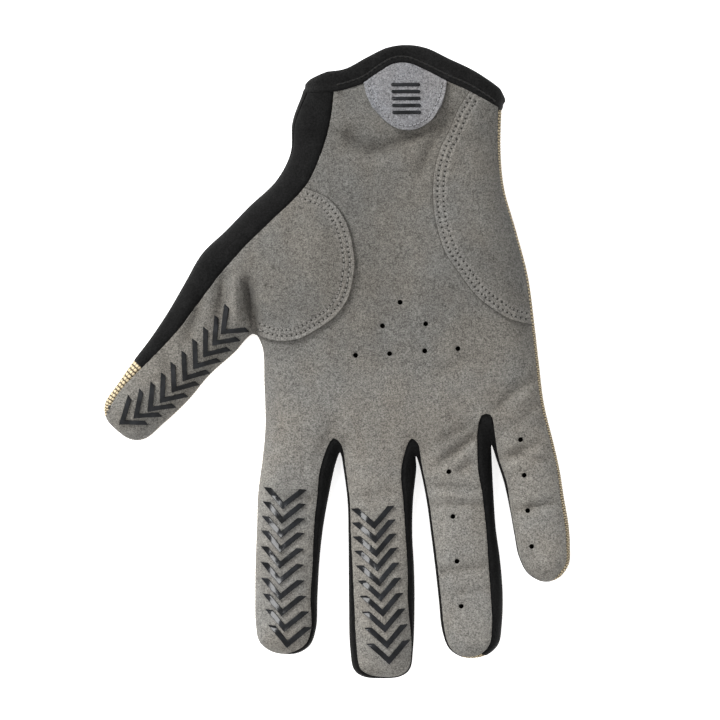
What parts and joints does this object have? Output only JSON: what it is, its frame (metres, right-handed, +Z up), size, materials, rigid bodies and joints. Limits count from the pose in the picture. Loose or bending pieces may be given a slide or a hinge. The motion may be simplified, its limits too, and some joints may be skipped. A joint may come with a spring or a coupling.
{
  "type": "full-finger cycling glove",
  "caption": "Right-hand full-finger cycling glove lying palm up, with a suede palm, knitted back, stretch side strips, bound cuff, pull tab and raised arrowhead grips.",
  "frame": {"origin": "on the floor, under the middle of the glove", "axes": "+Z up out of the palm, +Y from the fingertips to the wrist, +X from the thumb to the little finger"},
  "size_m": [0.168, 0.2283, 0.0195],
  "materials": {
    "suede": "napped grey synthetic suede",
    "tab_suede": "pale grey suede with raised ribs",
    "black_stretch": "matt black stretch cloth",
    "binding_cloth": "black woven elastic, folded and stitched",
    "tan_knit": "tan rib knit",
    "silicone": "glossy dark silicone print"
  },
  "bodies": {
    "root": {"palm_panel": "suede", "thumb_panel": "suede", "heel_panel": "suede", "pull_tab": "tab_suede", "back_panel": "tan_knit", "gusset_index_middle": "black_stretch", "gusset_middle_ring": "black_stretch", "gusset_ring_pinky": "black_stretch", "thumb_side_panel": "black_stretch", "cuff_side_panel": "black_stretch", "cuff_binding": "binding_cloth", "grip_index_01": "silicone", "grip_index_02": "silicone", "grip_index_03": "silicone", "grip_index_04": "silicone", "grip_index_05": "silicone", "grip_index_06": "silicone", "grip_index_07": "silicone", "grip_index_08": "silicone", "grip_index_09": "silicone", "grip_index_10": "silicone", "grip_middle_01": "silicone", "grip_middle_02": "silicone", "grip_middle_03": "silicone", "grip_middle_04": "silicone", "grip_middle_05": "silicone", "grip_middle_06": "silicone", "grip_middle_07": "silicone", "grip_middle_08": "silicone", "grip_middle_09": "silicone", "grip_middle_10": "silicone", "grip_thumb_01": "silicone", "grip_thumb_02": "silicone", "grip_thumb_03": "silicone", "grip_thumb_04": "silicone", "grip_thumb_05": "silicone", "grip_thumb_06": "silicone", "grip_thumb_07": "silicone", "grip_thumb_08": "silicone", "grip_thumb_09": "silicone", "grip_thumb_10": "silicone"}
  },
  "joints": []
}
